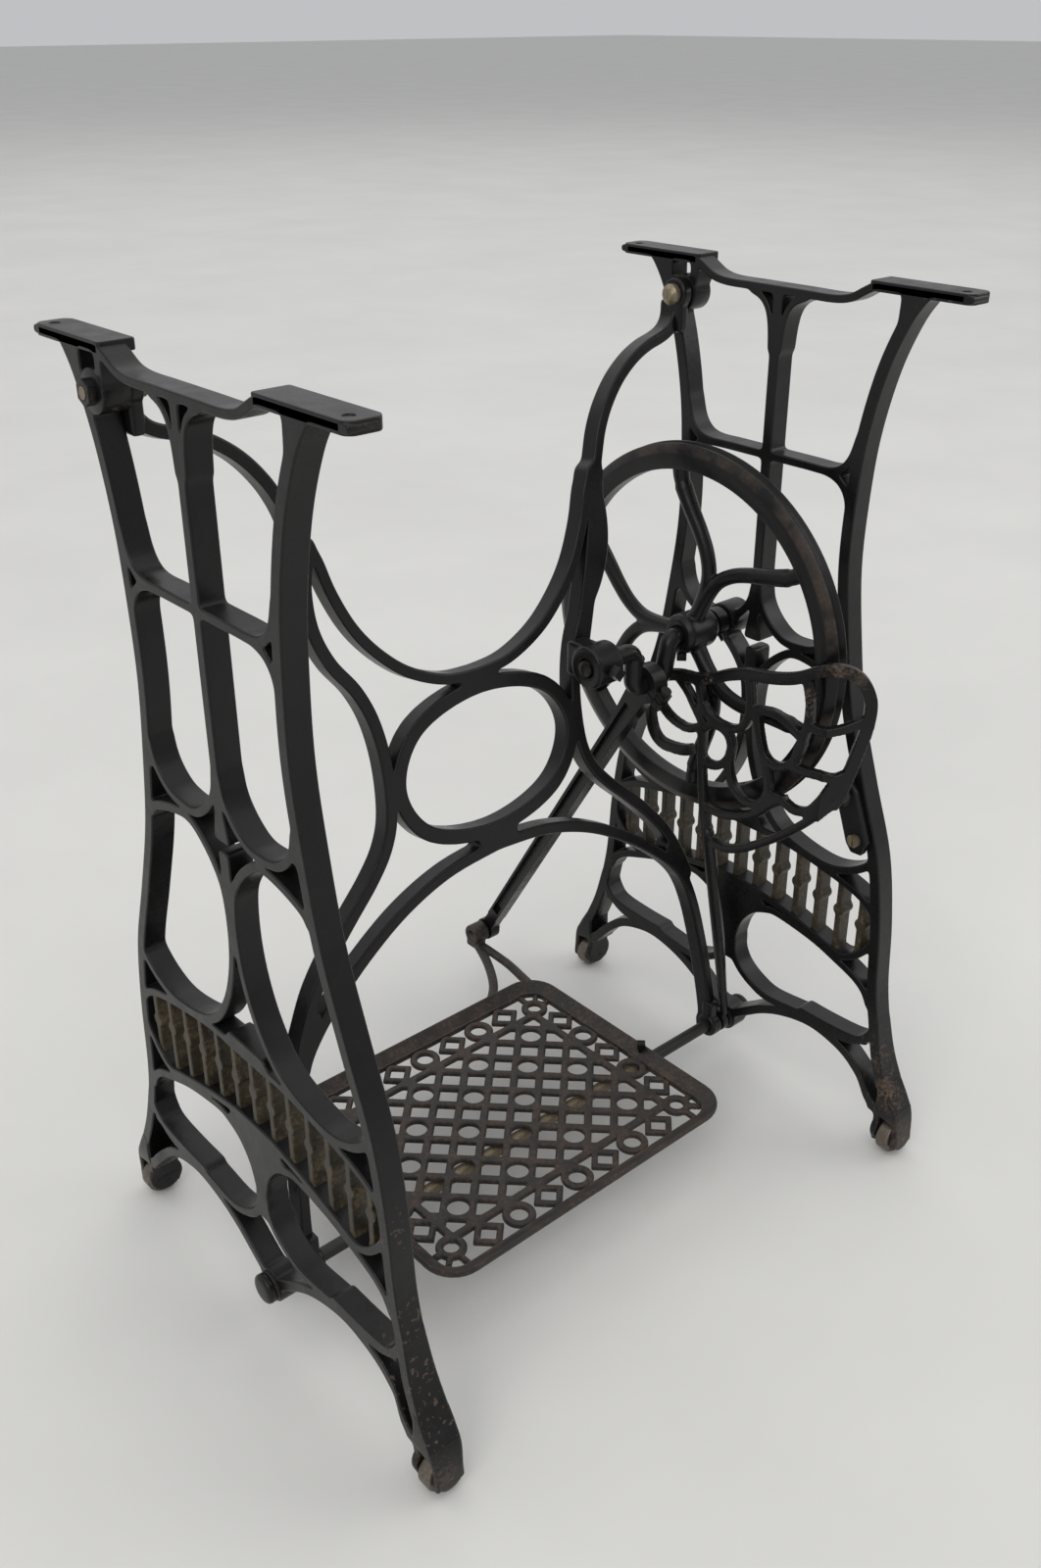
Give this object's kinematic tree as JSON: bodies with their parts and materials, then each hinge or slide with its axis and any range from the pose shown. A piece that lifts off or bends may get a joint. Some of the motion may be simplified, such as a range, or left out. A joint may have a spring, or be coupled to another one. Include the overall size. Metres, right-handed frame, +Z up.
{
  "type": "treadle sewing machine stand",
  "caption": "Black cast-iron treadle stand with pierced side frames, back brace, flywheel on a cranked shaft, pitman rod, pierced treadle, dress guard and casters.",
  "frame": {"origin": "centre of the footprint's bounding box at floor level", "axes": "+Z up, +X towards the flywheel side, -Y towards the operator"},
  "size_m": [0.535, 0.447, 0.712],
  "materials": {
    "japanned_iron": "black japanned casting, satin, with brown scuffs",
    "treadle_iron": "worn black japan over brown iron",
    "bare_steel": "dull grey bare steel",
    "tan_hardware": "tarnished tan hardware"
  },
  "bodies": {
    "stand": {"left_side_frame": "japanned_iron", "right_side_frame": "japanned_iron", "back_brace": "japanned_iron", "brace_bolts": "tan_hardware", "brace_nuts": "japanned_iron", "brace_set_screw": "bare_steel", "treadle_rod": "bare_steel", "rod_nuts": "japanned_iron", "dress_guard": "japanned_iron", "guard_screws": "tan_hardware", "caster_pins": "bare_steel"},
    "crank": {"crankshaft": "japanned_iron", "flywheel": "japanned_iron", "flywheel_set_screw": "bare_steel", "axle_collar": "japanned_iron"},
    "pitman_rod": {"pitman": "japanned_iron", "pitman_cap_screws": "bare_steel", "treadle_joint_pin": "bare_steel"},
    "treadle": {"treadle_plate": "treadle_iron", "treadle_rim": "treadle_iron", "treadle_arms": "treadle_iron", "treadle_lugs": "treadle_iron", "treadle_lug_screws": "bare_steel"},
    "caster_front_left": {"caster_wheel_front_left": "bare_steel"},
    "caster_back_left": {"caster_wheel_back_left": "bare_steel"},
    "caster_front_right": {"caster_wheel_front_right": "bare_steel"},
    "caster_back_right": {"caster_wheel_back_right": "bare_steel"}
  },
  "joints": [
    {"name": "flywheel_spin", "type": "hinge", "parent": "stand", "child": "crank", "pos_m": [0.2, 0.0075, 0.43], "axis": [1, 0, 0], "continuous": true},
    {"name": "pitman_swing", "type": "hinge", "parent": "crank", "child": "pitman_rod", "pos_m": [0.151, 0.0075, 0.398], "axis": [1, 0, 0], "continuous": true},
    {"name": "treadle_rock", "type": "hinge", "parent": "stand", "child": "treadle", "pos_m": [0, -0.0225, 0.04], "axis": [1, 0, 0], "range_deg": [0, 14]},
    {"name": "caster_front_left_spin", "type": "hinge", "parent": "stand", "child": "caster_front_left", "pos_m": [-0.2495, -0.2105, 0.0145], "axis": [0, 1, 0], "continuous": true},
    {"name": "caster_front_right_spin", "type": "hinge", "parent": "stand", "child": "caster_front_right", "pos_m": [0.2495, -0.2105, 0.0145], "axis": [0, 1, 0], "continuous": true},
    {"name": "caster_back_left_spin", "type": "hinge", "parent": "stand", "child": "caster_back_left", "pos_m": [-0.2495, 0.1655, 0.0145], "axis": [0, 1, 0], "continuous": true},
    {"name": "caster_back_right_spin", "type": "hinge", "parent": "stand", "child": "caster_back_right", "pos_m": [0.2495, 0.1655, 0.0145], "axis": [0, 1, 0], "continuous": true}
  ],
  "couplings": [
    {"joint": "pitman_swing", "follows": "flywheel_spin", "ratio": -1}
  ]
}
